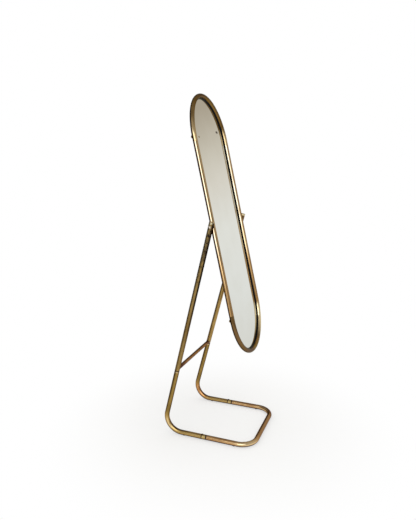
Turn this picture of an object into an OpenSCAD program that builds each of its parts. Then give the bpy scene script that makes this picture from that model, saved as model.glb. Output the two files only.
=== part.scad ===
// Tilting floor mirror: a long round-ended mirror in a ring of brass tube, pivoted between
// two leaning uprights that rise from a sled base of bent tube. Millimetres, +Z up, the
// glass faces -Y. The origin is on the floor, under the middle of the whole object.

/* [Stand tube] */
// Outer diameter of the runner and upright tube
tube_d = 24; // [20:0.5:30]
// Wall of the runner and upright tube
tube_wall = 1.5; // [1:0.1:2.5]
// Bend radius at the tube's centre line, rear bends and front corners
bend_r = 77; // [55:1:100]

/* [Base] */
// Spacing of the two runners, centre to centre
base_w = 391; // [340:1:430]
// Length from the front bar's axis to where runner and upright axes cross
base_len = 465; // [400:1:560]
// Length of the front piece, from the front bar's axis back to the runner joints
front_len = 234; // [190:1:270]

/* [Uprights] */
// Forward lean of the uprights, in degrees
lean = 14.4; // [8:0.1:20]
// Height of the tilt axis above the floor
pivot_h = 1052; // [960:1:1150]
// Length of upright above the tilt axis
upright_over = 20; // [17:0.5:40]
// Height of the crossbar's axis above the floor
crossbar_h = 350; // [280:1:390]
// Outer diameter of the crossbar
crossbar_d = 18; // [14:0.5:20]
// Wall of the crossbar
crossbar_wall = 1.5; // [1:0.1:2.5]
// Distance along the upright from the crossbar's underside to the upright joint
joint_below_bar = 2; // [1.5:0.5:20]

/* [Mirror frame] */
// Overall width of the tube ring
frame_w = 423; // [380:1:440]
// Overall length of the tube ring
frame_len = 1264; // [1100:1:1300]
// Outer diameter of the ring's tube
frame_tube_d = 22; // [18:0.5:24]
// Wall of the ring's tube
frame_wall = 1.2; // [1:0.1:2]
// Distance of the tilt axis above the ring's middle
pivot_above_mid = 19; // [0:1:40]
// Backward tilt of the mirror at rest, in degrees
tilt = 12.6; // [5:0.1:20]
// Straight tail of each half-round bow
bow_tail = 22; // [21:1:40]

/* [Glass and back] */
// Thickness of the mirror glass
glass_t = 4; // [3:0.5:5]
// Thickness of the backing board
board_t = 2; // [1.5:0.5:2.5]
// Gap between the glass edge and the tube
glass_edge_gap = 0.5; // [0.3:0.1:1]
// Height of the black glazing strip in front of the glass
strip_h = 5.4; // [3:0.1:7]
// Thickness of the glazing strip
strip_t = 2.1; // [1.5:0.1:3]
// Width of the back straps
strap_w = 14; // [10:0.5:20]
// Thickness of the back straps
strap_t = 2; // [1.5:0.5:3]

/* [Joints] */
// Length of the inner sleeves in the stand tube
sleeve_len = 80; // [50:2:110]
// Wall of the inner sleeves in the stand tube
sleeve_wall = 1.5; // [1:0.1:2.5]
// Length of the inner sleeves in the ring's tube
ring_sleeve_len = 36; // [24:2:38]
// Wall of the inner sleeves in the ring's tube
ring_sleeve_wall = 1.2; // [1:0.1:2]
// Open line left between two stand tubes at a joint
joint_line = 1.2; // [0.4:0.1:2]
// Open line left between two ring tubes at a joint
ring_joint_line = 0.3; // [0.1:0.1:1]
// Distance of a runner joint's screw behind the joint
screw_back = 19; // [12:1:23]
// Shank diameter of the joint and strap screws
screw_d = 4; // [3:0.5:5]
// Head diameter of the joint and strap screws
screw_head_d = 9; // [7:0.5:10]
// Height of a screw head's dome above its rim
screw_crown = 2.6; // [1.5:0.1:3.2]
// Thickness of a screw head's rim
screw_rim = 1; // [0.5:0.1:1.5]
// Length of screw past the last wall it holds
screw_tip = 3; // [2:0.5:4]

/* [Pivots] */
// Shank diameter of the pivot bolts
bolt_d = 6; // [5:0.5:8]
// Head diameter of the pivot bolts
bolt_head_d = 11; // [10:0.5:13]
// Height of a bolt head's dome above its rim
bolt_crown = 3; // [2:0.1:4.5]
// Thickness of a bolt head's rim
bolt_rim = 1.2; // [0.5:0.1:2]
// Outer diameter of the pivot bushes and bosses
bush_d = 11; // [10:0.5:13]
// Length by which bushes and bosses stand out of their tubes
bush_proud = 0.8; // [0.5:0.1:2]
// Depth of the threaded bosses inside the ring's tube
boss_depth = 17; // [12:0.5:17]
// Diameter of the friction washers
washer_d = 20; // [16:0.5:26]
// Thickness of the friction washers
washer_t = 2.8; // [2:0.1:6]
// Diameter of the spring washers under the bolt heads
bolt_washer_d = 13; // [12:0.5:15]
// Thickness of the spring washers under the bolt heads
bolt_washer_t = 1.2; // [0.8:0.1:2]

/* [Caps and glides] */
// Thickness of an upright's cap at its rim
cap_rim = 1; // [0.5:0.1:2]
// Height of the cap's dome above its rim
cap_crown = 1.6; // [1:0.1:4]
// Depth of the cap's plug inside the upright
cap_plug = 7; // [4:0.5:9]
// Diameter of a floor glide
glide_d = 12; // [8:1:16]
// Height by which a glide lifts the runners off the floor
glide_h = 1; // [0.6:0.1:2]
// Height by which a glide's saddle rises round the runner
glide_saddle = 1.5; // [0.8:0.1:3]
// Distance of the front glides behind the front bar's axis
glide_front = 92; // [85:1:180]
// Distance of the rear glides ahead of where the runners start to bend
glide_rear = 14; // [9:1:60]

/* [Clearances] */
// Radial play of an inner sleeve, plug or threaded part in its seat
seat_play = 0.05; // [0.02:0.01:0.1]
// Radial play of a screw shank in its clearance hole
hole_play = 0.25; // [0.1:0.05:0.5]
// Play of a turning face or shank at the pivots
run_play = 0.05; // [0.03:0.01:0.1]
// Gap filled by brazing at the crossbar's coped ends
braze_gap = 0.05; // [0.02:0.01:0.2]
// Thinning of the tube's wall in a rear bend, outside and in
bend_thinning = 0.15; // [0.1:0.05:0.3]

/* [Hidden] */
$fn = 48;
eps = 0.01;
tube_r = tube_d / 2;
tube_bore_r = tube_r - tube_wall;
runner_z = glide_h + tube_r;
frame_r = frame_tube_d / 2;
frame_bore_r = frame_r - frame_wall;

// The ring's centre line: half its width, and the straight runs above and below the pivot
ring_half = frame_w / 2 - frame_r;
side_up = frame_len / 2 - pivot_above_mid - frame_w / 2;
side_down = frame_len / 2 + pivot_above_mid - frame_w / 2;

// Across a pivot, outwards: ring tube, boss, play, friction washer, bush, upright
pivot_gap = 2 * bush_proud + washer_t + run_play;
upright_half = frame_w / 2 + pivot_gap + tube_r;

// The side loops turn outwards about the runners' axes, so that the uprights meet the pivots
upright_rise = pivot_h - runner_z;
splay = atan((upright_half - base_w / 2) / upright_rise);

// Along an upright, from the crossing of its axis with the runner's
pivot_s = upright_rise / (cos(splay) * cos(lean));
crossbar_s = (crossbar_h - runner_z) / (cos(splay) * cos(lean));
joint_s = crossbar_s - crossbar_d / 2 / cos(lean) - joint_below_bar;
top_s = pivot_s + upright_over;

// The rear bend: where it leaves each straight, how far they lap it, and how far it reaches back
bend_turn = 90 + lean;
bend_tangent = bend_r * tan(bend_turn / 2);
bend_lap = 0.5;
rear_bulge = bend_r - bend_tangent;
corner_y = (base_len - rear_bulge) / 2;
front_y = corner_y - base_len;
runner_joint_y = front_y + front_len;
pivot_y = corner_y - pivot_s * sin(lean);
crossbar_y = corner_y - crossbar_s * sin(lean);
crossbar_half = upright_half - (pivot_h - crossbar_h) * tan(splay);

// The glass and the board lie flush with the rear of the ring's tube
glass_back = frame_r - board_t;
glass_front = glass_back - glass_t;
glass_half = ring_half - sqrt(pow(frame_r, 2) - pow(glass_front, 2)) - glass_edge_gap;
strip_outer = ring_half - frame_r - seat_play;

LEFT = -1;
RIGHT = 1;
SIDES = [LEFT, RIGHT];
olive_brass = "#8a713c";
copper_brass = "#8e6335";
gold_brass = "#a98850";
dark_brass = "#5e4d30";
black_rubber = "#1d1b19";
silver = "#c9c9c6";
silvered_glass = "#c3c0b6";
board_brown = "#6b5236";

// ---- Shapes used by several pieces ----

// A straight tube along +Z between two heights
module tube(r, bore_r, from, to) {
    translate([0, 0, from]) difference() {
        cylinder(r = r, h = to - from);
        translate([0, 0, -eps]) cylinder(r = bore_r, h = to - from + 2 * eps);
    }
}

// A bent tube: part of a ring of the given centre radius, about Z, from the +X axis on
module bent_tube(r, bore_r, centre_r, turn) {
    rotate_extrude(angle = turn) translate([centre_r, 0]) difference() {
        circle(r = r);
        circle(r = bore_r);
    }
}

// A disc on z = 0 with a straight rim and a domed top
module domed_disc(r, rim, crown) {
    ball_r = (pow(r, 2) + pow(crown, 2)) / (2 * crown);
    intersection() {
        cylinder(r = r, h = rim + crown);
        translate([0, 0, rim + crown - ball_r]) sphere(r = ball_r);
    }
}

// A dome-headed screw along -Z: its head sits on z = 0 and its shank reaches down
module dome_screw(head_d, rim, crown, shank_d, reach) {
    domed_disc(head_d / 2, rim, crown);
    translate([0, 0, -reach]) cylinder(d = shank_d, h = reach + eps);
}

// The outline of the ring, glass and board: straight sides with half-round ends
module long_round(half) {
    translate([0, side_up]) circle(r = half);
    translate([0, -side_down]) circle(r = half);
    translate([-half, -side_down]) square([2 * half, side_up + side_down]);
}

// ---- Places ----

// The frame of one side loop: runner along -Y, upright rising and leaning to -Y
module side_loop(side) {
    translate([side * base_w / 2, corner_y, runner_z]) rotate([0, side * splay, 0]) children();
}

// +Z runs up the upright, from where its axis crosses the runner's
module on_upright(side) {
    side_loop(side) rotate([lean, 0, 0]) children();
}

// The mirror's frame: X across, +Z up the glass, -Y out of the glass, the tilt axis at 0
module in_mirror() {
    translate([0, pivot_y, pivot_h]) rotate([-tilt, 0, 0]) children();
}

// +Z runs outwards along the tilt axis, from the ring tube's centre
module on_pivot(side) {
    translate([side * ring_half, pivot_y, pivot_h]) rotate([0, side * 90, 0]) children();
}

// One runner's joint screw: +Z up, 0 on the crown of the runner
module at_runner_screw(side) {
    translate([side * base_w / 2, runner_joint_y + screw_back, runner_z + tube_r]) children();
}

// The four strap screws, in the mirror's frame: +Z out of the back, 0 on the straps
module at_strap_screws() {
    for (side = SIDES, level = [side_up, -side_down])
        translate([side * ring_half, frame_r + strap_t, level]) rotate([-90, 0, 0]) children();
}

// The four ring joints, in the mirror's frame: 0 at the joint line, +Z up the side tube
module at_ring_joints() {
    for (side = SIDES, level = [side_up - bow_tail, bow_tail - side_down])
        translate([side * ring_half, 0, level]) children();
}

// ---- Stand ----

module base_front_u() {
    straight = base_w / 2 - bend_r;
    color(copper_brass) translate([0, front_y, runner_z]) {
        rotate([0, 90, 0])
            tube(tube_r, tube_bore_r, -straight, straight);
        for (side = SIDES) {
            translate([side * straight, bend_r, 0]) rotate([0, 0, side < 0 ? 180 : -90])
                bent_tube(tube_r, tube_bore_r, bend_r, 90);
            translate([side * base_w / 2, 0, 0]) rotate([-90, 0, 0])
                tube(tube_r, tube_bore_r, bend_r, front_len - joint_line / 2);
        }
    }
}

module rear_leg(side) {
    straight_start = bend_tangent - bend_lap;
    runner_end = base_len - front_len - joint_line / 2;
    foot_end = joint_s - joint_line / 2;
    color(olive_brass) difference() {
        side_loop(side) {
            rotate([90, 0, 0]) tube(tube_r, tube_bore_r, straight_start, runner_end);
            translate([0, -bend_tangent, bend_r]) rotate([0, 90, 0])
                bent_tube(tube_r - bend_thinning, tube_bore_r + bend_thinning, bend_r, bend_turn);
            rotate([lean, 0, 0]) tube(tube_r, tube_bore_r, straight_start, foot_end);
        }
        at_runner_screw(side) translate([0, 0, -tube_r])
            cylinder(r = screw_d / 2 + hole_play, h = tube_d);
    }
}

module upper_upright(side) {
    color(dark_brass) difference() {
        on_upright(side) tube(tube_r, tube_bore_r, joint_s + joint_line / 2, top_s);
        on_pivot(side) cylinder(r = bush_d / 2 + seat_play, h = pivot_gap + frame_r + 2 * tube_d);
    }
}

module crossbar() {
    color(copper_brass) difference() {
        translate([0, crossbar_y, crossbar_h]) rotate([0, 90, 0])
            tube(crossbar_d / 2, crossbar_d / 2 - crossbar_wall, -crossbar_half, crossbar_half);
        for (side = SIDES)
            on_upright(side) cylinder(r = tube_r + braze_gap, h = top_s);
    }
}

module base_joint_sleeve(side) {
    outer_r = tube_bore_r - seat_play;
    color(gold_brass) difference() {
        translate([side * base_w / 2, runner_joint_y, runner_z]) rotate([-90, 0, 0])
            tube(outer_r, outer_r - sleeve_wall, -sleeve_len / 2, sleeve_len / 2);
        at_runner_screw(side) translate([0, 0, -tube_r])
            cylinder(r = screw_d / 2 + seat_play, h = tube_d);
    }
}

module base_joint_screws() {
    reach = tube_wall + sleeve_wall + screw_tip;
    color(dark_brass) for (side = SIDES)
        at_runner_screw(side) dome_screw(screw_head_d, screw_rim, screw_crown, screw_d, reach);
}

module upright_joint_sleeve(side) {
    outer_r = tube_bore_r - seat_play;
    color(gold_brass) on_upright(side)
        tube(outer_r, outer_r - sleeve_wall, joint_s - sleeve_len / 2, joint_s + sleeve_len / 2);
}

module upright_cap(side) {
    color(gold_brass) on_upright(side) translate([0, 0, top_s]) {
        translate([0, 0, -cap_plug]) cylinder(r = tube_bore_r - seat_play, h = cap_plug + eps);
        domed_disc(tube_r, cap_rim, cap_crown);
    }
}

module pivot_bush(side) {
    inner_face = frame_r + pivot_gap - bush_proud;
    color(gold_brass) on_pivot(side) difference() {
        translate([0, 0, inner_face]) cylinder(d = bush_d, h = tube_d + 2 * bush_proud);
        cylinder(r = bolt_d / 2 + run_play, h = inner_face + 2 * tube_d);
    }
}

module friction_washer(side) {
    inner_face = frame_r + bush_proud + run_play;
    color(black_rubber) on_pivot(side) difference() {
        translate([0, 0, inner_face]) cylinder(d = washer_d, h = washer_t);
        cylinder(r = bolt_d / 2 + run_play, h = inner_face + 2 * washer_t);
    }
}

module floor_glides() {
    color(black_rubber)
        for (side = SIDES, y = [front_y + glide_front, corner_y - bend_tangent - glide_rear])
            translate([side * base_w / 2, y, 0]) difference() {
                cylinder(d = glide_d, h = glide_h + glide_saddle);
                translate([0, 0, runner_z]) rotate([90, 0, 0])
                    cylinder(r = tube_r, h = 2 * glide_d, center = true);
            }
}

// ---- Mirror ----

module frame_bow(up) {
    centre = up > 0 ? side_up : -side_down;
    color(gold_brass) in_mirror() difference() {
        union() {
            translate([0, 0, centre]) rotate([90, 0, 0]) rotate([0, 0, up > 0 ? 0 : 180])
                bent_tube(frame_r, frame_bore_r, ring_half, 180);
            for (side = SIDES)
                translate([side * ring_half, 0, centre]) rotate([up > 0 ? 180 : 0, 0, 0])
                    tube(frame_r, frame_bore_r, 0, bow_tail - ring_joint_line / 2);
        }
        at_strap_screws() translate([0, 0, -frame_r - strap_t])
            cylinder(r = screw_d / 2 + seat_play, h = frame_r + strap_t);
    }
}

module frame_side(side) {
    low = bow_tail - side_down + ring_joint_line / 2;
    high = side_up - bow_tail - ring_joint_line / 2;
    color(gold_brass) difference() {
        in_mirror() translate([side * ring_half, 0, 0]) tube(frame_r, frame_bore_r, low, high);
        on_pivot(side) cylinder(r = bush_d / 2 + seat_play, h = frame_tube_d);
    }
}

module frame_joint_sleeves() {
    outer_r = frame_bore_r - seat_play;
    color(gold_brass) in_mirror() at_ring_joints()
        tube(outer_r, outer_r - ring_sleeve_wall, -ring_sleeve_len / 2, ring_sleeve_len / 2);
}

module glazing_strip() {
    color(black_rubber) in_mirror() translate([0, glass_front, 0]) rotate([90, 0, 0])
        linear_extrude(strip_h) difference() {
            long_round(strip_outer);
            long_round(strip_outer - strip_t);
        }
}

module mirror_glass() {
    color(silvered_glass) in_mirror() translate([0, glass_back, 0]) rotate([90, 0, 0])
        linear_extrude(glass_t) long_round(glass_half);
}

module backing_board() {
    color(board_brown) in_mirror() translate([0, frame_r, 0]) rotate([90, 0, 0])
        linear_extrude(board_t) long_round(glass_half);
}

module back_strap(level) {
    color(dark_brass) in_mirror() difference() {
        translate([0, frame_r + strap_t, level]) rotate([90, 0, 0]) linear_extrude(strap_t) {
            translate([-ring_half, -strap_w / 2]) square([2 * ring_half, strap_w]);
            for (side = SIDES)
                translate([side * ring_half, 0]) circle(d = strap_w);
        }
        at_strap_screws() cylinder(r = screw_d / 2 + hole_play, h = 3 * strap_t, center = true);
    }
}

module strap_screws() {
    reach = strap_t + frame_wall + screw_tip;
    color(gold_brass) in_mirror() at_strap_screws()
        dome_screw(screw_head_d, screw_rim, screw_crown, screw_d, reach);
}

module pivot_boss(side) {
    color(gold_brass) on_pivot(side) difference() {
        translate([0, 0, frame_r - boss_depth]) cylinder(d = bush_d, h = boss_depth + bush_proud);
        translate([0, 0, -boss_depth]) cylinder(r = bolt_d / 2 + seat_play, h = 3 * boss_depth);
    }
}

module pivot_bolt(side) {
    head_face = frame_r + pivot_gap + tube_d + bush_proud + run_play + bolt_washer_t;
    color(silver) on_pivot(side) translate([0, 0, head_face])
        dome_screw(bolt_head_d, bolt_rim, bolt_crown, bolt_d, head_face);
}

module bolt_washers() {
    inner_face = frame_r + pivot_gap + tube_d + bush_proud + run_play;
    color(silver) for (side = SIDES) on_pivot(side) difference() {
        translate([0, 0, inner_face]) cylinder(d = bolt_washer_d, h = bolt_washer_t);
        cylinder(r = bolt_d / 2 + seat_play, h = inner_face + 2 * bolt_washer_t);
    }
}

base_front_u();
rear_leg(LEFT);  // rear_leg_left
rear_leg(RIGHT);  // rear_leg_right
upper_upright(LEFT);  // upper_upright_left
upper_upright(RIGHT);  // upper_upright_right
crossbar();
base_joint_sleeve(LEFT);  // base_joint_sleeve_left
base_joint_sleeve(RIGHT);  // base_joint_sleeve_right
base_joint_screws();
upright_joint_sleeve(LEFT);  // upright_joint_sleeve_left
upright_joint_sleeve(RIGHT);  // upright_joint_sleeve_right
upright_cap(LEFT);  // upright_cap_left
upright_cap(RIGHT);  // upright_cap_right
pivot_bush(LEFT);  // pivot_bush_left
pivot_bush(RIGHT);  // pivot_bush_right
friction_washer(LEFT);  // friction_washer_left
friction_washer(RIGHT);  // friction_washer_right
floor_glides();
frame_bow(1);  // frame_top_bow
frame_bow(-1);  // frame_bottom_bow
frame_side(LEFT);  // frame_side_left
frame_side(RIGHT);  // frame_side_right
frame_joint_sleeves();
glazing_strip();
mirror_glass();
backing_board();
back_strap(side_up);  // back_strap_upper
back_strap(-side_down);  // back_strap_lower
strap_screws();
pivot_boss(LEFT);  // pivot_boss_left
pivot_boss(RIGHT);  // pivot_boss_right
pivot_bolt(LEFT);  // pivot_bolt_left
pivot_bolt(RIGHT);  // pivot_bolt_right
bolt_washers();
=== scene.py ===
"""Looks for the tilting floor mirror in brass tube. Metres, +Z up, the glass faces -Y."""
import math

import bmesh
import bpy
from mathutils import Matrix, Vector

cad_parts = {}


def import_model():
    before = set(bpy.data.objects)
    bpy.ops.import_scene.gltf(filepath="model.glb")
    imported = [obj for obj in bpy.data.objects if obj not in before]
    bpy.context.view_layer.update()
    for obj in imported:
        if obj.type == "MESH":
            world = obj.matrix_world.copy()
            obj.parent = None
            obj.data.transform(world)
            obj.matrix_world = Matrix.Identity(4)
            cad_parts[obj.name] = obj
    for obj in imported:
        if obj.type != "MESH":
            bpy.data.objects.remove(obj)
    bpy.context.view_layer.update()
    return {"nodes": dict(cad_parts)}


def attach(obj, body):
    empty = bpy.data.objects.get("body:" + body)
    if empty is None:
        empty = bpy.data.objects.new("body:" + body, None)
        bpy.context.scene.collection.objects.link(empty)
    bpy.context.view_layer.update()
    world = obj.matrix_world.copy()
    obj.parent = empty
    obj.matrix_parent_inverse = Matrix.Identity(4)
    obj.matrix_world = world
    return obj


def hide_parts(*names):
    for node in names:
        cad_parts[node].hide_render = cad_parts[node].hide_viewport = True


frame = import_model()

# ---- Sizes, as in the part ----

MM = 0.001
LEFT, RIGHT = -1, 1
SIDES = (LEFT, RIGHT)
WORD = {LEFT: "left", RIGHT: "right"}

TUBE_R = 12 * MM
TUBE_BORE = 10.5 * MM
BEND_R = 77 * MM
BASE_W = 391 * MM
BASE_LEN = 465 * MM
FRONT_LEN = 234 * MM
LEAN = math.radians(14.4)
PIVOT_H = 1052 * MM
UPRIGHT_OVER = 20 * MM
BAR_H = 350 * MM
BAR_R = 9 * MM
BAR_BORE = 7.5 * MM
JOINT_BELOW_BAR = 2 * MM
JOINT_LINE = 1.2 * MM

FRAME_W = 423 * MM
FRAME_LEN = 1264 * MM
RING_R = 11 * MM
RING_BORE = 9.8 * MM
PIVOT_ABOVE_MID = 19 * MM
TILT = math.radians(12.6)
BOW_TAIL = 22 * MM
RING_LINE = 0.3 * MM

GLASS_T = 4 * MM
BOARD_T = 2 * MM
EDGE_GAP = 0.5 * MM
STRIP_H = 5.4 * MM
STRIP_T = 2.1 * MM
STRAP_W = 14 * MM
STRAP_T = 2 * MM

SCREW_BACK = 19 * MM
SCREW_R = 2 * MM
SCREW_HEAD_R = 4.5 * MM
SCREW_RIM = 1 * MM
SCREW_CROWN = 2.6 * MM
SCREW_DEPTH = 6 * MM
STRAP_SCREW_DEPTH = STRAP_T + 4 * MM
BOLT_R = 3 * MM
BOLT_HEAD_R = 5.5 * MM
BOLT_RIM = 1.2 * MM
BOLT_CROWN = 3 * MM
BUSH_R = 5.5 * MM
BUSH_PROUD = 0.8 * MM
WASHER_R = 10 * MM
WASHER_T = 2.8 * MM
BOLT_WASHER_R = 6.5 * MM
BOLT_WASHER_T = 1.2 * MM
CAP_RIM = 1 * MM
CAP_CROWN = 1.6 * MM
CAP_PLUG = 7 * MM
GLIDE_H = 1 * MM
RUN_PLAY = 0.05 * MM
SEAT_PLAY = 0.05 * MM

RUNNER_Z = GLIDE_H + TUBE_R
RING_HALF = FRAME_W / 2 - RING_R
SIDE_UP = FRAME_LEN / 2 - PIVOT_ABOVE_MID - FRAME_W / 2
SIDE_DOWN = FRAME_LEN / 2 + PIVOT_ABOVE_MID - FRAME_W / 2
PIVOT_GAP = 2 * BUSH_PROUD + WASHER_T + RUN_PLAY
UPRIGHT_HALF = FRAME_W / 2 + PIVOT_GAP + TUBE_R
RISE = PIVOT_H - RUNNER_Z
SPLAY = math.atan((UPRIGHT_HALF - BASE_W / 2) / RISE)
ALONG = math.cos(SPLAY) * math.cos(LEAN)
PIVOT_S = RISE / ALONG
BAR_S = (BAR_H - RUNNER_Z) / ALONG
JOINT_S = BAR_S - BAR_R / math.cos(LEAN) - JOINT_BELOW_BAR
TOP_S = PIVOT_S + UPRIGHT_OVER
BEND_TURN = math.pi / 2 + LEAN
TANGENT = BEND_R * math.tan(BEND_TURN / 2)
CORNER_Y = (BASE_LEN - BEND_R + TANGENT) / 2
FRONT_Y = CORNER_Y - BASE_LEN
RUNNER_JOINT_Y = FRONT_Y + FRONT_LEN
PIVOT_Y = CORNER_Y - PIVOT_S * math.sin(LEAN)
BAR_Y = CORNER_Y - BAR_S * math.sin(LEAN)
BAR_HALF = UPRIGHT_HALF - (PIVOT_H - BAR_H) * math.tan(SPLAY)
GLASS_BACK = RING_R - BOARD_T
GLASS_FRONT = GLASS_BACK - GLASS_T
GLASS_HALF = RING_HALF - math.sqrt(RING_R ** 2 - GLASS_FRONT ** 2) - EDGE_GAP
STRIP_OUTER = RING_HALF - RING_R - SEAT_PLAY
OUTER_FACE = RING_R + PIVOT_GAP + 2 * TUBE_R + BUSH_PROUD + RUN_PLAY

# ---- Sizes that only the looks need ----

SCREW_SIZE = (SCREW_HEAD_R, SCREW_RIM, SCREW_CROWN, SCREW_R)
BOLT_SIZE = (BOLT_HEAD_R, BOLT_RIM, BOLT_CROWN, BOLT_R)
SLOT_LONG, SLOT_WIDE, SLOT_DEEP = 3, 0.22, 1.1  # of the head's radius, radius and crown
DOME_START = 0.985  # of a dome's half angle, so that its first point stays clear of the rim
TUBE_SEGMENTS = 56
TUBE_STEP = 12 * MM
TAIL_STEP = 6 * MM
BAR_COPE = 20 * MM
BAR_STEPS = 24
BRAZE_REACH = 2.6 * MM
BRAZE_IN_UPRIGHT = 0.25 * MM
BRAZE_IN_BAR = 0.3 * MM
STRIP_ROUND = STRIP_T * 0.45

# ---- Places ----


def moved(x, y, z):
    return Matrix.Translation((x, y, z))


def turned(angle, axis):
    return Matrix.Rotation(angle, 4, axis)


def side_loop(side):
    """Where the axes of a runner and its upright cross, splayed like the upright."""
    return moved(side * BASE_W / 2, CORNER_Y, RUNNER_Z) @ turned(side * SPLAY, "Y")


def on_upright(side):
    """The same point with Z up along the upright."""
    return side_loop(side) @ turned(LEAN, "X")


IN_MIRROR = moved(0, PIVOT_Y, PIVOT_H) @ turned(-TILT, "X")


def on_pivot(side):
    """On the ring's axis, with Z out along the pivot bolt."""
    return moved(side * RING_HALF, PIVOT_Y, PIVOT_H) @ turned(side * math.pi / 2, "Y")


def at_runner_screw(side):
    return moved(side * BASE_W / 2, RUNNER_JOINT_Y + SCREW_BACK, RUNNER_Z + TUBE_R)


def at_strap_screw(side, level):
    on_back = moved(side * RING_HALF, RING_R + STRAP_T, level)
    return IN_MIRROR @ on_back @ turned(-math.pi / 2, "X")


# ---- Shapes ----


def mesh_of(bm, name):
    mesh = bpy.data.meshes.new(name)
    bm.to_mesh(mesh)
    bm.free()
    return mesh


def add(name, data):
    """A new object of the scene that holds data."""
    thing = bpy.data.objects.new(name, data)
    bpy.context.scene.collection.objects.link(thing)
    return thing


def finish_mesh(name, bm, place, sharp=40):
    """The mesh of bm in the row frame, smooth but for edges sharper than that angle."""
    bmesh.ops.transform(bm, matrix=place, verts=bm.verts)
    bmesh.ops.recalc_face_normals(bm, faces=bm.faces)
    mesh = mesh_of(bm, name)
    for face in mesh.polygons:
        face.use_smooth = True
    mesh.set_sharp_from_angle(angle=math.radians(sharp))
    return mesh


def loft(name, loops, runs, place, closed=True, sharp=40):
    """A skin through loops of as many points each. The map "run" holds the share of the way
    round and, from runs, the metres along. An open skin is capped at both ends."""
    bm = bmesh.new()
    uv = bm.loops.layers.uv.new("run")
    rows = [[bm.verts.new(p) for p in loop] for loop in loops]
    count = len(rows[0])
    for i in range(len(rows) if closed else len(rows) - 1):
        after = (i + 1) % len(rows)
        a, b = rows[i], rows[after]
        for j in range(count):
            k = (j + 1) % count
            face = bm.faces.new((a[j], a[k], b[k], b[j]))
            shares = (j / count, (j + 1) / count, (j + 1) / count, j / count)
            along = (runs[i], runs[i], runs[after], runs[after])
            for corner, u, v in zip(face.loops, shares, along):
                corner[uv].uv = (u, v)
    if not closed:
        for row, run in ((rows[0], runs[0]), (rows[-1], runs[-1])):
            face = bm.faces.new(row)
            for corner in face.loops:
                corner[uv].uv = (0, run)
    return finish_mesh(name, bm, place, sharp)


def turns(segments):
    """The angles of as many points spread evenly round a circle."""
    return [2 * math.pi * j / segments for j in range(segments)]


def circle(radius, z, segments=48):
    return [Vector((radius * math.cos(a), radius * math.sin(a), z)) for a in turns(segments)]


def ring_of(centre, tangent, normal, radius, inward=0.0):
    """A circle of points round the tangent; it starts at the plane's normal."""
    beside = tangent.cross(normal).normalized()
    middle = centre + tangent * inward
    return [middle + (normal * math.cos(a) + beside * math.sin(a)) * radius
            for a in turns(TUBE_SEGMENTS)]


def tube(name, path, normal, radius, bore, place, ease=0.25 * MM):
    """A hollow tube along a path in one plane, with eased ends."""
    last = len(path) - 1
    tangents = [(path[min(i + 1, last)] - path[max(i - 1, 0)]).normalized()
                for i in range(len(path))]
    loops, runs, run = [], [], 0.0

    def outside(i, inward, at, shrunk=0.0):
        loops.append(ring_of(path[i], tangents[i], normal, radius - shrunk, inward))
        runs.append(at)

    outside(0, 0.0, 0.0, ease)
    outside(0, ease, ease)
    for i in range(1, last):
        run += (path[i] - path[i - 1]).length
        outside(i, 0.0, run)
    run += (path[last] - path[last - 1]).length
    outside(last, -ease, run - ease)
    outside(last, 0.0, run, ease)
    for i in range(last, -1, -1):
        if i < last:
            run -= (path[i + 1] - path[i]).length
        loops.append(ring_of(path[i], tangents[i], normal, bore))
        runs.append(run)
    return loft(name, loops, runs, place)


def straight(start, end, step=TUBE_STEP, whole=False):
    """Points from start to just before end, or to end itself if whole."""
    count = max(2, round((end - start).length / step))
    return [start.lerp(end, i / count) for i in range(count)] + ([end] if whole else [])


def arc(centre, start, axis, turn, step=math.radians(2.5)):
    """Points of an arc from centre + start, turned about the axis, without its last point."""
    count = max(2, round(turn / step))
    return [centre + Matrix.Rotation(turn * i / count, 3, axis) @ start for i in range(count)]


def lathe(name, profile, place, segments=48):
    """A turned piece from (radius, height) points; the first and last lie on the axis."""
    bm = bmesh.new()
    uv = bm.loops.layers.uv.new("run")
    rows = [[bm.verts.new(p) for p in circle(r, z, segments)] for r, z in profile[1:-1]]
    runs = [0.0]
    for (r0, z0), (r1, z1) in zip(profile, profile[1:]):
        runs.append(runs[-1] + math.hypot(r1 - r0, z1 - z0))
    foot, tip = [bm.verts.new((0, 0, z)) for _, z in (profile[0], profile[-1])]
    for j in range(segments):
        k = (j + 1) % segments
        u0, u1 = j / segments, (j + 1) / segments
        strips = [((foot, rows[0][k], rows[0][j]), ((u0, runs[0]), (u1, runs[1]), (u0, runs[1]))),
                  ((tip, rows[-1][j], rows[-1][k]),
                   ((u0, runs[-1]), (u0, runs[-2]), (u1, runs[-2])))]
        for a, b, v0, v1 in zip(rows, rows[1:], runs[1:], runs[2:]):
            strips.append(((a[j], a[k], b[k], b[j]), ((u0, v0), (u1, v0), (u1, v1), (u0, v1))))
        for verts, places in strips:
            for corner, at in zip(bm.faces.new(verts).loops, places):
                corner[uv].uv = at
    return finish_mesh(name, bm, place)


def dome_profile(size, depth, ease=0.2 * MM, steps=10):
    """Half section of a domed head on z = 0, over a shank of that depth."""
    radius, rim, crown, shank_r = size
    ball = (radius ** 2 + crown ** 2) / (2 * crown)
    side = math.asin(min(1, radius / ball))
    points = [(0, -depth), (shank_r - ease, -depth), (shank_r, ease - depth), (shank_r, 0),
              (radius - ease, 0), (radius, ease), (radius, rim - ease)]
    for i in range(steps):
        a = side * (1 - i / steps) * DOME_START
        points.append((ball * math.sin(a), rim + crown - ball + ball * math.cos(a)))
    return points + [(0, rim + crown)]


def long_round(half, y, steps=48):
    """The closed outline of the ring, glass and board, at depth y in the mirror's frame."""
    points = []
    for start, level in ((0, SIDE_UP), (math.pi, -SIDE_DOWN)):
        for i in range(steps + 1):
            a = start + math.pi * i / steps
            points.append(Vector((half * math.cos(a), y, level + half * math.sin(a))))
    return points


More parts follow.
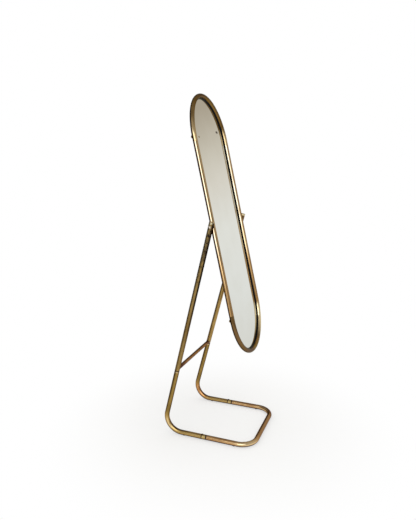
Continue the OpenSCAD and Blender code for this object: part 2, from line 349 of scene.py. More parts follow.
def flat_bar(name, outline, front, back, ease):
    """A flat piece of the mirror with eased edges; outline gives its points for inset and y."""
    section = [(ease, front), (0, front + ease), (0, back - ease), (ease, back)]
    loops = [outline(inset, y) for inset, y in section]
    return loft(name, loops, [y for _, y in section], IN_MIRROR, closed=False, sharp=30)


def cut(thing, size, place, sharp=35):
    """Cuts a box of that size, centred on place, out of the thing."""
    bm = bmesh.new()
    bmesh.ops.create_cube(bm, size=1)
    bmesh.ops.transform(bm, matrix=place @ Matrix.Diagonal((*size, 1)), verts=bm.verts)
    cutter = add("cutter", mesh_of(bm, "cutter"))
    modifier = thing.modifiers.new("slot", "BOOLEAN")
    modifier.operation, modifier.solver, modifier.object = "DIFFERENCE", "EXACT", cutter
    graph = bpy.context.evaluated_depsgraph_get()
    made = bpy.data.meshes.new_from_object(thing.evaluated_get(graph), depsgraph=graph)
    thing.modifiers.clear()
    thing.data = made
    made.set_sharp_from_angle(angle=math.radians(sharp))
    bpy.data.objects.remove(cutter)


def settle(thing, body, nodes):
    """The thing rides on body and stands for the CAD nodes, which it hides."""
    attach(thing, body)
    if nodes:
        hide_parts(*nodes)


def piece(name, mesh, material, body, nodes):
    """Adds the mesh as a piece of one material."""
    thing = add(name, mesh)
    mesh.materials.append(material)
    settle(thing, body, nodes)


def dress(node, material):
    """Gives a CAD node that stays its material."""
    for place in frame["nodes"][node].material_slots:
        place.link = "OBJECT"
        place.material = material


# ---- Materials ----


def srgb(red, green, blue):
    """A colour written as 0-255 on screen, as the shader wants it."""
    shares = [c / 255 for c in (red, green, blue)]
    return (*(c / 12.92 if c <= 0.04045 else ((c + 0.055) / 1.055) ** 2.4 for c in shares), 1)


class Nodes:
    """A node tree under construction, with short calls for what goes into it."""

    def __init__(self, tree):
        self.tree = tree
        tree.nodes.clear()

    def node(self, kind, **settings):
        made = self.tree.nodes.new("ShaderNode" + kind)
        for key, value in settings.items():
            setattr(made, key, value)
        return made

    def feed(self, socket, value):
        if isinstance(value, bpy.types.NodeSocket):
            self.tree.links.new(value, socket)
        else:
            socket.default_value = value

    def fill(self, node, **values):
        """Feeds the inputs of those names, with _ for a space, and gives the node back."""
        for key, value in values.items():
            self.feed(node.inputs[key.replace("_", " ")], value)
        return node

    def math(self, operation, a, b=0.0, clamp=False):
        node = self.node("Math", operation=operation, use_clamp=clamp)
        self.feed(node.inputs[0], a)
        self.feed(node.inputs[1], b)
        return node.outputs[0]

    def times(self, a, b):
        return self.math("MULTIPLY", a, b)

    def vector(self, operation, a, b=(0, 0, 0)):
        node = self.node("VectorMath", operation=operation)
        self.feed(node.inputs[0], a)
        self.feed(node.inputs[1], b)
        return node.outputs["Value" if operation == "LENGTH" else "Vector"]

    def scaled(self, vector, x, y, z):
        return self.vector("MULTIPLY", vector, (x, y, z))

    def noise(self, vector, scale, detail=3.0, roughness=0.55):
        node = self.node("TexNoise")
        self.fill(node, Vector=vector, Scale=scale, Detail=detail, Roughness=roughness)
        return node.outputs["Fac"]

    def cells(self, vector, scale):
        return self.fill(self.node("TexVoronoi"), Vector=vector, Scale=scale).outputs["Distance"]

    def span(self, value, low, high, to_low=0.0, to_high=1.0, smooth=True):
        """The value's stretch from low to high, laid over to_low to to_high."""
        node = self.node("MapRange", interpolation_type="SMOOTHSTEP" if smooth else "LINEAR")
        self.fill(node, Value=value, From_Min=low, From_Max=high, To_Min=to_low, To_Max=to_high)
        return node.outputs["Result"]

    def window(self, value, low, high, fade):
        """1 from low to high, going to 0 over the fade to either side of both."""
        return self.times(self.span(value, low - fade, low + fade),
                          self.span(value, high - fade, high + fade, 1.0, 0.0))

    def mix(self, share, a, b):
        node = self.node("Mix", data_type="RGBA")
        for key, value in ((0, share), (6, a), (7, b)):
            self.feed(node.inputs[key], value)
        return node.outputs[2]

    def emission(self, colour):
        return self.fill(self.node("Emission"), Color=colour).outputs[0]


class Shader(Nodes):
    """A material under construction."""

    def __init__(self, name):
        self.material = bpy.data.materials.new(name)
        self.material.use_nodes = True
        super().__init__(self.material.node_tree)
        self.output = self.node("OutputMaterial")
        self.surface = self.node("BsdfPrincipled")
        self.show(self.surface.outputs[0])

    def show(self, source):
        self.feed(self.output.inputs["Surface"], source)

    def set(self, **values):
        self.fill(self.surface, **values)

    def place(self):
        return self.node("TexCoord").outputs["Object"]

    def parts(self, vector):
        return self.fill(self.node("SeparateXYZ"), Vector=vector).outputs

    def rolled(self, radius):
        """Coordinates that follow a bent tube, round it in x and y and along it in z, then
        the share of the way round and the metres along."""
        share, along, _ = self.parts(self.node("UVMap", uv_map="run").outputs[0])
        turn = self.times(share, 2 * math.pi)
        node = self.fill(self.node("CombineXYZ"), X=self.times(self.math("COSINE", turn), radius),
                         Y=self.times(self.math("SINE", turn), radius), Z=along)
        return node.outputs[0], share, along

    def facing_up(self):
        """The upward part of the surface's normal."""
        return self.parts(self.node("NewGeometry").outputs["Normal"])[2]

    def bump(self, height, strength, distance):
        node = self.fill(self.node("Bump"), Strength=strength, Distance=distance, Height=height)
        self.set(Normal=node.outputs[0])


METAL_EDGE = (0.35, 0.24, 0.15, 1)
PATCH_FADE = 0.04


def brass(name, clean, worn, dark_tone, gloss, mottle, pits, radius=TUBE_R, bands=(), rise=None,
          lacquer=0.5, relief=0.08, shade_under=0.0, under_to=10.0, clouded=1.0, shaded_sides=(), painted_light_patches=(),
          edge=METAL_EDGE):
    """Lacquered brass with age: clean and worn tones in long clouds, wiped streaks along the
    tube, and stains in blots and pits, with painted shade and painted highlights over them.
    Distances along the tube are in metres, and the way round it goes from 0 to 1.
    gloss: (least, most) roughness. mottle, pits, clouded: how much there is of each.
    bands: (from, to, fade, colour) along the tube.
    Patches of painted highlight and painted shade: (from, to) of the way round, then (from,
    to, fade, colour) along.
    rise: between these two distances the age grows from little to full.
    Stretches in painted shade: (from, to, fade) of the way round, darkened to the dark tone
    and with less lacquer, then the distances where that is nil and where it is full, and how
    deep it then is.
    Painted shade of the side that faces the floor: how deep it is, as far along as under_to.
    edge: the metal's tint at grazing angles."""
    s = Shader(name)
    at, share, along = s.rolled(radius)
    age = s.span(along, *rise, 0.2, 1.0) if rise else 1.0
    clouds = s.span(s.noise(s.scaled(at, 1, 1, 0.3), 42, 4, 0.6), 0.36, 0.66, 0.0, clouded)
    streaks = s.noise(s.scaled(at, 1, 1, 0.05), 380, 3, 0.6)
    tone = s.mix(s.times(clouds, age), clean, worn)
    tone = s.mix(s.span(streaks, 0.35, 0.75, 0.0, 0.3), tone, worn)
    for start, end, fade, colour in bands:
        tone = s.mix(s.window(along, start, end, fade), tone, colour)
    # Patches of painted highlight and painted shade.
    for start, end, low, high, fade, colour in painted_light_patches:
        inside = s.times(s.window(share, start, end, PATCH_FADE), s.window(along, low, high, fade))
        tone = s.mix(inside, tone, colour)
    bare = 0.0
    # Painted shade down the given stretches of the way round, where the lacquer coat is thinned as
    # well.
    for start, end, fade, low, high, depth in shaded_sides:
        painted_shade = s.times(s.window(share, start, end, fade), s.span(along, low, high, 0.0, depth))
        tone = s.mix(painted_shade, tone, dark_tone)
        bare = s.math("MAXIMUM", bare, painted_shade)
    # Painted shade on the side that faces the floor.
    if shade_under:
        painted_shade = s.times(s.span(s.facing_up(), -0.22, -0.04, shade_under, 0.0),
                       s.span(along, under_to - 60 * MM, under_to, 1.0, 0.0))
        tone = s.mix(painted_shade, tone, dark_tone)
    marks = age_marks(s, at, age, mottle, pits)
    rough = s.math("ADD", s.span(streaks, 0.3, 0.8, *gloss, False), s.times(marks, 0.22), True)
    coat = s.times(s.math("SUBTRACT", 1.0, bare), lacquer) if shaded_sides else lacquer
    s.set(Base_Color=s.mix(marks, tone, dark_tone), Metallic=1.0, Roughness=rough,
          Specular_Tint=edge, Coat_Weight=coat, Coat_Roughness=0.1, Coat_IOR=1.55)
    grain = s.noise(s.scaled(at, 1, 1, 0.4), 55, 2)
    s.bump(s.math("SUBTRACT", grain, s.times(marks, 0.3)), relief, 0.2 * MM)
    return s.material


def age_marks(s, at, age, mottle, pits):
    """Blots, more of them with age and mottle, and small pits in groups."""
    blots = s.noise(s.scaled(at, 1, 1, 0.7), 95, 5, 0.62)
    blots = s.times(s.span(blots, 0.70 - 0.26 * mottle, 0.84 - 0.24 * mottle), age)
    dots = s.times(s.span(s.cells(at, 210), 0.10, 0.24, 1.0, 0.0),
                   s.span(s.noise(at, 60, 2), 0.62 - 0.2 * pits, 0.7))
    return s.math("MAXIMUM", s.times(blots, min(1.0, 0.35 + mottle)), s.times(dots, 0.85))


def turned_brass(name, clean, dark_tone, gloss):
    """Plain brass of the small turned parts, with fine tool marks and tarnish."""
    s = Shader(name)
    at = s.place()
    tarnish = s.span(s.noise(at, 260, 4, 0.6), 0.42, 0.7)
    s.set(Base_Color=s.mix(tarnish, clean, dark_tone), Metallic=1.0,
          Roughness=s.span(s.noise(at, 900, 2), 0.3, 0.7, *gloss, False))
    s.bump(s.noise(at, 1400, 2), 0.12, 0.05 * MM)
    return s.material


def plated_steel(name):
    """Bright plated screws with a few dull specks."""
    s = Shader(name)
    at = s.place()
    specks = s.span(s.noise(at, 700, 4, 0.6), 0.58, 0.72)
    s.set(Base_Color=s.mix(specks, srgb(206, 192, 172), srgb(112, 102, 88)), Metallic=1.0,
          Roughness=s.span(s.noise(at, 1100, 2), 0.3, 0.7, 0.2, 0.36, False))
    s.bump(s.noise(at, 1500, 2), 0.08, 0.04 * MM)
    return s.material


# Lost spots in the silvering: across, up, half width, half height, colour.
SPOTS = [(112 * MM, 440 * MM, 17 * MM, 7.6 * MM, srgb(58, 46, 34)),
         (-133 * MM, 404 * MM, 10 * MM, 5 * MM, srgb(160, 138, 98))]


def old_silvering(name):
    """Mirror glass whose silvering has aged: a faint haze, small specks and the lost spots."""
    s = Shader(name)
    at = s.place()
    haze = s.noise(at, 9, 3, 0.5)
    tone = s.mix(s.span(haze, 0.3, 0.8, 0.0, 0.5), srgb(238, 239, 234), srgb(230, 230, 222))
    specks = s.times(s.span(s.cells(at, 190), 0.05, 0.1, 1.0, 0.0),
                     s.span(s.noise(at, 14, 3), 0.6, 0.72))
    tone = s.mix(s.times(specks, 0.4), tone, srgb(150, 142, 122))
    for across, up, wide, tall, colour in SPOTS:
        away = s.vector("SUBTRACT", at, IN_MIRROR @ Vector((across, GLASS_FRONT, up)))
        reach = s.vector("LENGTH", s.scaled(away, 1 / wide, 1 / tall, 1 / tall))
        ragged = s.span(s.noise(at, 320, 3), 0.2, 0.8, -0.35, 0.35, False)
        tone = s.mix(s.span(s.math("ADD", reach, ragged), 0.55, 1.1, 1.0, 0.0), tone, colour)
    s.set(Base_Color=tone, Metallic=1.0, Roughness=s.span(haze, 0.3, 0.8, 0.012, 0.03, False))
    return s.material


def hardboard(name):
    """Brown pressed board with a mesh-like weave of fibres."""
    s = Shader(name)
    at = s.place()
    fibres = s.noise(s.scaled(at, 1.0, 1.0, 0.35), 520, 5, 0.7)
    clouds = s.span(s.noise(at, 16, 3), 0.35, 0.75, 0.0, 0.45)
    tone = s.mix(s.span(fibres, 0.3, 0.7), srgb(98, 74, 51), srgb(131, 103, 74))
    s.set(Base_Color=s.mix(clouds, tone, srgb(88, 66, 45)),
          Roughness=s.span(fibres, 0.3, 0.7, 0.62, 0.8, False))
    s.bump(fibres, 0.35, 0.2 * MM)
    return s.material


def black_rubber(name, clean, dusty):
    """Rubber greyed a little by dust."""
    s = Shader(name)
    at = s.place()
    dust = s.noise(at, 240, 4, 0.6)
    s.set(Base_Color=s.mix(s.span(dust, 0.4, 0.8), clean, dusty),
          Roughness=s.span(dust, 0.3, 0.8, 0.5, 0.66, False), Specular_IOR_Level=0.1)
    s.bump(s.noise(at, 1300, 3), 0.1, 0.05 * MM)
    return s.material


# ---- The brass of each tube: runs are lengths along it, LEFT is the side of the camera ----

FOOT_RUN = BASE_LEN - FRONT_LEN - JOINT_LINE / 2
LEG_RUN = FOOT_RUN - TANGENT + BEND_R * BEND_TURN + JOINT_S - JOINT_LINE / 2 - TANGENT
UPRIGHT_RUN = TOP_S - JOINT_S - JOINT_LINE / 2
BAR_RUN = 2 * BAR_HALF
BAR_AT = FRONT_LEN - BEND_R + BEND_R * math.pi / 2
FRONT_RUN = 2 * BAR_AT + BASE_W - 2 * BEND_R - JOINT_LINE
BOW_RUN = math.pi * RING_HALF + 2 * BOW_TAIL - RING_LINE

BEND_TONE = {LEFT: srgb(184, 150, 86), RIGHT: srgb(174, 124, 68)}
# Painted highlights along the bends of the legs.
BEND_HIGHLIGHT = {LEFT: srgb(234, 206, 148), RIGHT: srgb(226, 168, 112)}
# The far side's tone is paler than the near side's, which paints its highlight whiter.
RING_TONE = {LEFT: srgb(208, 178, 128), RIGHT: srgb(236, 222, 190)}
MID_RING = {LEFT: srgb(192, 160, 114), RIGHT: srgb(226, 194, 142)}
LOW_RING = {LEFT: srgb(230, 182, 118), RIGHT: srgb(192, 148, 88)}
# Painted shade down the edges of the ring's straight lengths.
RING_SHADE = {LEFT: [(0.03, 0.236, 0.03, -0.3, 0.0, 0.93), (0.322, 0.39, 0.015, -0.3, 0.0, 0.66),
                    (0.4, 0.6, 0.04, 0.5, 0.1, 0.5)],
             RIGHT: [(0.42, 0.58, 0.02, -0.3, 0.0, 0.5)]}
# A painted highlight down the near length and painted shade on the far length's rim.
RING_PAINTED_LIGHT = {LEFT: (0.26, 0.29, 0.3, 2, 60 * MM, srgb(228, 212, 188)),
              RIGHT: (0.36, 0.45, 0.3, 2, 60 * MM, srgb(206, 158, 92))}
PAST_END = 1 * MM
LIP_FADE = 0.6 * MM


def first_lip(length, colour):
    """The band of another tone at the start of a tube."""
    return (-PAST_END, length, LIP_FADE, colour)


def last_lip(run, length, colour, fade=LIP_FADE):
    """The same at its end."""
    return (run - length, run + PAST_END, fade, colour)


def front_brass():
    """A painted highlight before the near corner, coppery along the front bar, darker towards
    its far end, with painted shade on one side of the far corner and a painted highlight on the
    other, and painted shade on the side that faces the floor.
    """
    dark = srgb(60, 38, 21)
    return brass(
        "front_brass", srgb(208, 164, 108), srgb(168, 124, 76), srgb(70, 43, 24), (0.1, 0.2),
        mottle=0.25, pits=0.3, lacquer=0.35, shade_under=0.95,
        # The first band is a painted highlight before the near corner.
        bands=[(BAR_AT - 115 * MM, BAR_AT - 25 * MM, 30 * MM, srgb(228, 198, 148)),
               (BAR_AT + 10 * MM, BAR_AT + 250 * MM, 20 * MM, srgb(156, 118, 76)),
               (BAR_AT + 240 * MM, BAR_AT + 350 * MM, 20 * MM, srgb(128, 90, 48)),
               first_lip(4 * MM, dark), last_lip(FRONT_RUN, 4 * MM, dark)],
        # Painted shade on one side of the far corner, a painted highlight on the other.
        painted_light_patches=[(0.12, 0.4, BAR_AT + 245 * MM, BAR_AT + 350 * MM, 36 * MM, srgb(80, 50, 25)),
                 (0.72, 0.92, BAR_AT + 235 * MM, BAR_AT + 360 * MM, 24 * MM,
                  srgb(214, 176, 122))])


def leg_brass(side):
    """Olive, paler in the bend with a painted highlight along it, painted shade on its inner
    side, down both edges and on the side that faces the floor, and a light collar at the
    runner's joint.
    """
    return brass(
        "leg_brass_" + WORD[side], srgb(176, 143, 70), srgb(144, 114, 50), srgb(62, 46, 23),
        (0.12, 0.22), mottle=0.3, pits=0.4, lacquer=0.3, shade_under=0.85, under_to=250 * MM,
        bands=[(-100 * MM, 190 * MM, 60 * MM, BEND_TONE[LEFT]),
               (150 * MM, 258 * MM, 40 * MM, BEND_TONE[side]),
               (276 * MM, 335 * MM, 22 * MM, srgb(134, 107, 46)),
               (345 * MM, LEG_RUN, 20 * MM, srgb(152, 122, 58)),
               first_lip(24 * MM, srgb(78, 57, 31)),
               (2 * MM, 19 * MM, LIP_FADE, srgb(202, 172, 108)),
               last_lip(LEG_RUN, 4 * MM, srgb(220, 194, 148))],
        # Painted shade down both edges.
        shaded_sides=[(0.28, 0.45, 0.04, 0.2, 0.34, 0.5), (0.67, 0.9, 0.04, 0.2, 0.3, 0.7)],
        # Painted shade on the bend's inner side and along one edge, then a painted highlight along
        # the bend.
        painted_light_patches=[(0.69, 0.9, 100 * MM, 235 * MM, 28 * MM, srgb(72, 44, 19)),
                 (0.24, 0.43, 140 * MM, 250 * MM, 28 * MM, srgb(104, 74, 36)),
                 (0.52, 0.6, 180 * MM, 246 * MM, 18 * MM, BEND_HIGHLIGHT[side])])


def upright_ends():
    """A dark lip at the joint and bare metal at the top."""
    return [first_lip(5 * MM, srgb(64, 48, 26)),
            last_lip(UPRIGHT_RUN, 7 * MM, srgb(232, 216, 172), 1 * MM)]


def upright_brass(side):
    """Stained dark over its upper half at the left, with painted shade down one side of that
    half and a painted highlight beside it; little worn at the right.
    """
    low, top = upright_ends()
    if side == LEFT:
        return brass(
            "upright_brass_left", srgb(168, 137, 76), srgb(90, 78, 55), srgb(36, 26, 17),
            (0.16, 0.3), mottle=0.95, pits=0.8, lacquer=0.2, rise=(0.38, 0.68),
            bands=[(170 * MM, 300 * MM, 60 * MM, srgb(134, 106, 54)), low, top],
            # Painted shade down one side of the upper half, then a painted highlight beside it.
            shaded_sides=[(0.6, 0.86, 0.04, -0.1, 0.42, 0.95)],
            painted_light_patches=[(0.3, 0.43, 0.33, 0.74, 60 * MM, srgb(140, 126, 88))])
    return brass(
        "upright_brass_right", srgb(172, 140, 76), srgb(144, 114, 58), srgb(60, 46, 26),
        (0.16, 0.28), mottle=0.35, pits=0.4, lacquer=0.35,
        bands=[low, (UPRIGHT_RUN - 40 * MM, UPRIGHT_RUN, 6 * MM, srgb(126, 92, 48)), top])


def bar_brass():
    """Coppery, darker towards both ends, with painted shade on the side that faces the floor."""
    return brass(
        "bar_brass", srgb(158, 114, 66), srgb(122, 84, 46), srgb(62, 38, 24), (0.18, 0.3),
        mottle=0.35, pits=0.4, radius=BAR_R, lacquer=0.3, shade_under=0.5,
        bands=[(-PAST_END, 60 * MM, 30 * MM, srgb(88, 56, 33)),
               last_lip(BAR_RUN, 40 * MM, srgb(98, 64, 38), 20 * MM)])


def ring_brass(side):
    """The bright straight lengths of the ring, warmer low down. Painted shade runs down their
    edges, a painted highlight down the near one and painted shade on the far one's rim; the
    far one is paler, which paints its highlight whiter.
    """
    return brass(
        "ring_brass_" + WORD[side], RING_TONE[side], srgb(170, 138, 88), srgb(60, 34, 12),
        (0.07, 0.12), mottle=0.1, pits=0.3, radius=RING_R, lacquer=0.45, relief=0.015,
        clouded=0.6, bands=[(-200 * MM, 330 * MM, 160 * MM, LOW_RING[side]),
                            (250 * MM, 370 * MM, 60 * MM, MID_RING[side])],
        shaded_sides=RING_SHADE[side], painted_light_patches=[RING_PAINTED_LIGHT[side]])


def bow_brass(name, lacquer, bands, shaded_sides):
    """Browner than the ring's straight lengths, with painted shade down one side round half the
    bow.
    """
    return brass(name, srgb(168, 134, 78), srgb(120, 92, 48), srgb(46, 32, 18), (0.1, 0.18),
                 mottle=0.3, pits=0.4, radius=RING_R, lacquer=lacquer, relief=0.02,
                 bands=bands, shaded_sides=shaded_sides, edge=(0.35, 0.34, 0.14, 1))


def top_bow_brass():
    return bow_brass(
        "top_bow_brass", 0.3,
        [(0, BOW_RUN * 0.6, 80 * MM, srgb(122, 92, 38)),
         (-60 * MM, 60 * MM, 40 * MM, RING_TONE[LEFT]),
         (BOW_RUN - 90 * MM, BOW_RUN + 60 * MM, 40 * MM, RING_TONE[LEFT])],
        # Painted shade down one side of the near half.
        [(0.75, 0.97, 0.035, BOW_RUN * 0.46, BOW_RUN * 0.68, 0.93)])


def bottom_bow_brass():
    return bow_brass(
        "bottom_bow_brass", 0.35,
        [(-PAST_END, BOW_RUN * 0.5, 60 * MM, srgb(112, 82, 40)),
         # A painted highlight towards the far end.
         (BOW_RUN - 190 * MM, BOW_RUN - 35 * MM, 60 * MM, srgb(250, 224, 172)),
         (BOW_RUN - 35 * MM, BOW_RUN + 60 * MM, 12 * MM, LOW_RING[RIGHT])],
        # Painted shade down one side of the near half.
        [(0.765, 0.97, 0.035, BOW_RUN * 0.58, BOW_RUN * 0.35, 0.9)])


cap_brass = turned_brass("cap_brass", srgb(240, 224, 180), srgb(178, 154, 108), (0.16, 0.28))
small_brass = turned_brass("small_brass", srgb(186, 156, 100), srgb(128, 98, 56), (0.2, 0.34))
old_brass = turned_brass("old_brass", srgb(108, 84, 50), srgb(62, 46, 30), (0.26, 0.42))
strap_brass = turned_brass("strap_brass", srgb(178, 146, 96), srgb(120, 92, 56), (0.22, 0.36))
braze = turned_brass("braze", srgb(156, 128, 78), srgb(96, 72, 42), (0.3, 0.44))
steel = plated_steel("steel")
silvered = old_silvering("silvered_glass")
board = hardboard("hardboard")
rubber = black_rubber("rubber", srgb(6, 6, 6), srgb(17, 16, 15))
glide_rubber = black_rubber("glide_rubber", srgb(116, 109, 99), srgb(152, 145, 133))

# ---- Stand ----


def base_front():
    """The front bar, its two bends and the front halves of the runners."""
    x, y, z = BASE_W / 2, FRONT_Y, RUNNER_Z
    bend_y, end_y = y + BEND_R, RUNNER_JOINT_Y - JOINT_LINE / 2
    path = straight(Vector((-x, end_y, z)), Vector((-x, bend_y, z)))
    path += arc(Vector((BEND_R - x, bend_y, z)), Vector((-BEND_R, 0, 0)), "Z", math.pi / 2)
    path += straight(Vector((BEND_R - x, y, z)), Vector((x - BEND_R, y, z)))
    path += arc(Vector((x - BEND_R, bend_y, z)), Vector((0, -BEND_R, 0)), "Z", math.pi / 2)
    path += straight(Vector((x, bend_y, z)), Vector((x, end_y, z)), whole=True)
    mesh = tube("base_front", path, Vector((0, 0, 1)), TUBE_R, TUBE_BORE, Matrix())
    piece("front_u_tube", mesh, front_brass(), "stand", ["base_front_u"])


def rear_leg(side):
    """The rear half of a runner, its bend and the foot of the upright."""
    up = Vector((0, -math.sin(LEAN), math.cos(LEAN)))
    path = straight(Vector((0, -FOOT_RUN, 0)), Vector((0, -TANGENT, 0)))
    path += arc(Vector((0, -TANGENT, BEND_R)), Vector((0, 0, -BEND_R)), "X", BEND_TURN)
    path += straight(up * TANGENT, up * (JOINT_S - JOINT_LINE / 2), whole=True)
    mesh = tube("rear_leg", path, Vector((1, 0, 0)), TUBE_R, TUBE_BORE, side_loop(side))
    piece("rear_leg_tube_" + WORD[side], mesh, leg_brass(side), "stand",
          ["rear_leg_" + WORD[side]])


def upper_upright(side):
    path = straight(Vector((0, 0, JOINT_S + JOINT_LINE / 2)), Vector((0, 0, TOP_S)), whole=True)
    mesh = tube("upright", path, Vector((-side, 0, 0)), TUBE_R, TUBE_BORE, on_upright(side))
    piece("upright_tube_" + WORD[side], mesh, upright_brass(side), "stand",
          ["upper_upright_" + WORD[side]])


def by_bar(x, rho, angle):
    """The point at x along the crossbar, rho out from its axis."""
    return Vector((x, BAR_Y + rho * math.cos(angle), BAR_H + rho * math.sin(angle)))


def upright_reach(side, rho, angle):
    """How far out along X a line beside the crossbar's axis meets the upright's surface."""
    foot = on_upright(side) @ Vector((0, 0, BAR_S))
    axis = (on_upright(side).to_3x3() @ Vector((0, 0, 1))).normalized()
    line, off = Vector((side, 0, 0)), by_bar(0, rho, angle) - foot
    d, e = line - axis * line.dot(axis), off - axis * off.dot(axis)
    a, b, c = d.dot(d), 2 * d.dot(e), e.dot(e) - TUBE_R ** 2
    return (-b - math.sqrt(max(0.0, b * b - 4 * a * c))) / (2 * a)


def crossbar():
    """The thin tube with its ends coped to the uprights."""
    angles = turns(TUBE_SEGMENTS)

    def coped(side, radius):
        return [by_bar(side * upright_reach(side, radius, a), radius, a) for a in angles]

    def plain(x, radius):
        return [by_bar(x, radius, a) for a in angles]

    inner = BAR_HALF - BAR_COPE
    stations = [-inner + 2 * inner * i / BAR_STEPS for i in range(BAR_STEPS + 1)]
    loops = [coped(LEFT, BAR_R), *(plain(x, BAR_R) for x in stations), coped(RIGHT, BAR_R),
             coped(RIGHT, BAR_BORE), *(plain(x, BAR_BORE) for x in reversed(stations)),
             coped(LEFT, BAR_BORE)]
    out = [0.0] + [x + BAR_HALF for x in stations] + [BAR_RUN]
    mesh = loft("crossbar", loops, out + out[::-1], Matrix())
    piece("crossbar_tube", mesh, bar_brass(), "stand", ["crossbar"])


def braze_fillet(side, segments=48, steps=6):
    """The hollow fillet of braze round a coped end."""
    reach, tail = BRAZE_REACH, 0.9 * BRAZE_REACH
    shares = [math.pi / 2 * i / steps for i in range(steps + 1)]
    section = [(reach * (1 - math.cos(q)), reach * (1 - math.sin(q))) for q in shares]
    section += [(tail, -BRAZE_IN_UPRIGHT), (-BRAZE_IN_BAR, -BRAZE_IN_UPRIGHT),
                (-BRAZE_IN_BAR, tail)]
    loops = [[by_bar(side * (upright_reach(side, BAR_R + rise, a) - back), BAR_R + rise, a)
              for a in turns(segments)] for rise, back in section]
    mesh = loft("braze_fillet", loops, [0.0] * len(loops), Matrix())
    piece("braze_fillet_" + WORD[side], mesh, braze, "stand", [])


def slotted_head(name, place, size, depth, material, turn):
    """A domed head on its shank, with a screwdriver's slot at that angle."""
    radius, rim, crown, _ = size
    thing = add(name, lathe(name, dome_profile(size, depth), place))
    slot = place @ (moved(0, 0, rim + crown) @ turned(turn, "Z"))
    cut(thing, (SLOT_LONG * radius, SLOT_WIDE * radius, SLOT_DEEP * crown), slot)
    thing.data.materials.clear()
    thing.data.materials.append(material)
    return thing


def join(name, things):
    """Makes one object of several of the same material."""
    bm = bmesh.new()
    for thing in things:
        bm.from_mesh(thing.data)
    made = add(name, mesh_of(bm, name))
    made.data.materials.append(things[0].data.materials[0])
    for thing in things:
        bpy.data.objects.remove(thing)
    return made


def screw_set(name, places, depth, material, first_turn, next_turn):
    """Screws of one kind as one object, no two of their slots at the same angle."""
    return join(name, [slotted_head(name + "_part", place, SCREW_SIZE, depth, material,
                                    first_turn + next_turn * i)
                       for i, place in enumerate(places)])


def runner_screws():
    places = [at_runner_screw(side) for side in SIDES]
    made = screw_set("runner_screws", places, SCREW_DEPTH, old_brass,
                     first_turn=0.5, next_turn=0.9)
    settle(made, "stand", ["base_joint_screws"])


def upright_cap(side):
    size = (TUBE_R, CAP_RIM, CAP_CROWN, TUBE_BORE - SEAT_PLAY)
    mesh = lathe("cap", dome_profile(size, CAP_PLUG, ease=0.3 * MM, steps=12),
                 on_upright(side) @ moved(0, 0, TOP_S))
    piece("cap_" + WORD[side], mesh, cap_brass, "stand", ["upright_cap_" + WORD[side]])


def ring_disc(name, side, outer, bore, low, thick, ease):
    """A washer or bush about the pivot axis, from low outwards."""
    high = low + thick
    section = [(bore, low + ease), (bore + ease, low), (outer - ease, low), (outer, low + ease),
               (outer, high - ease), (outer - ease, high), (bore + ease, high),
               (bore, high - ease)]
    loops = [circle(r, z) for r, z in section]
    return loft(name, loops, [z for _, z in section], on_pivot(side), sharp=35)


def pivot_bush(side):
    mesh = ring_disc("bush", side, BUSH_R, BOLT_R + RUN_PLAY, RING_R + PIVOT_GAP - BUSH_PROUD,
                     2 * TUBE_R + 2 * BUSH_PROUD, ease=0.2 * MM)
    piece("bush_" + WORD[side], mesh, small_brass, "stand", ["pivot_bush_" + WORD[side]])


def friction_washer(side):
    mesh = ring_disc("washer", side, WASHER_R, BOLT_R + RUN_PLAY, RING_R + BUSH_PROUD + RUN_PLAY,
                     WASHER_T, ease=0.4 * MM)
    piece("friction_disc_" + WORD[side], mesh, rubber, "stand",
          ["friction_washer_" + WORD[side]])


# ---- Mirror ----


def ring_bow(up, word, material):
    """A half-round end of the ring with a short straight tail at either end."""
    x, centre = up * RING_HALF, SIDE_UP if up > 0 else -SIDE_DOWN
    end_z = centre - up * (BOW_TAIL - RING_LINE / 2)
    path = straight(Vector((x, 0, end_z)), Vector((x, 0, centre)), TAIL_STEP)
    path += arc(Vector((0, 0, centre)), Vector((x, 0, 0)), Vector((0, -1, 0)), math.pi)
    path += straight(Vector((-x, 0, centre)), Vector((-x, 0, end_z)), TAIL_STEP, whole=True)
    mesh = tube("bow", path, Vector((0, 1, 0)), RING_R, RING_BORE, IN_MIRROR)
    piece("ring_bow_" + word, mesh, material, "mirror", ["frame_" + word + "_bow"])


def ring_side(side):
    low = Vector((side * RING_HALF, 0, BOW_TAIL - SIDE_DOWN + RING_LINE / 2))
    high = Vector((side * RING_HALF, 0, SIDE_UP - BOW_TAIL - RING_LINE / 2))
    mesh = tube("side", straight(low, high, whole=True), Vector((0, 1, 0)), RING_R, RING_BORE,
                IN_MIRROR)
    piece("ring_side_" + WORD[side], mesh, ring_brass(side), "mirror",
          ["frame_side_" + WORD[side]])


def glazing_bead():
    """The black strip between tube and glass, with a rounded crown."""
    inner, top, r = STRIP_OUTER - STRIP_T, GLASS_FRONT - STRIP_H, STRIP_ROUND
    quarter = [math.pi / 2 * i / 4 for i in range(5)]
    section = [(inner, GLASS_FRONT), (STRIP_OUTER, GLASS_FRONT)]
    section += [(STRIP_OUTER - r + r * math.cos(a), top + r - r * math.sin(a)) for a in quarter]
    section += [(inner + r - r * math.sin(a), top + r - r * math.cos(a)) for a in quarter]
    loops = [long_round(half, y) for half, y in section]
    mesh = loft("bead", loops, [y for _, y in section], IN_MIRROR, sharp=50)
    piece("glazing_bead", mesh, rubber, "mirror", ["glazing_strip"])


def glass_outline(inset, y):
    return long_round(GLASS_HALF - inset, y)


def glass_plate():
    mesh = flat_bar("glass", glass_outline, GLASS_FRONT, GLASS_BACK, ease=0.4 * MM)
    piece("silvered_plate", mesh, silvered, "mirror", ["mirror_glass"])


def back_board():
    mesh = flat_bar("board", glass_outline, GLASS_BACK, RING_R, ease=0.3 * MM)
    piece("back_board", mesh, board, "mirror", ["backing_board"])


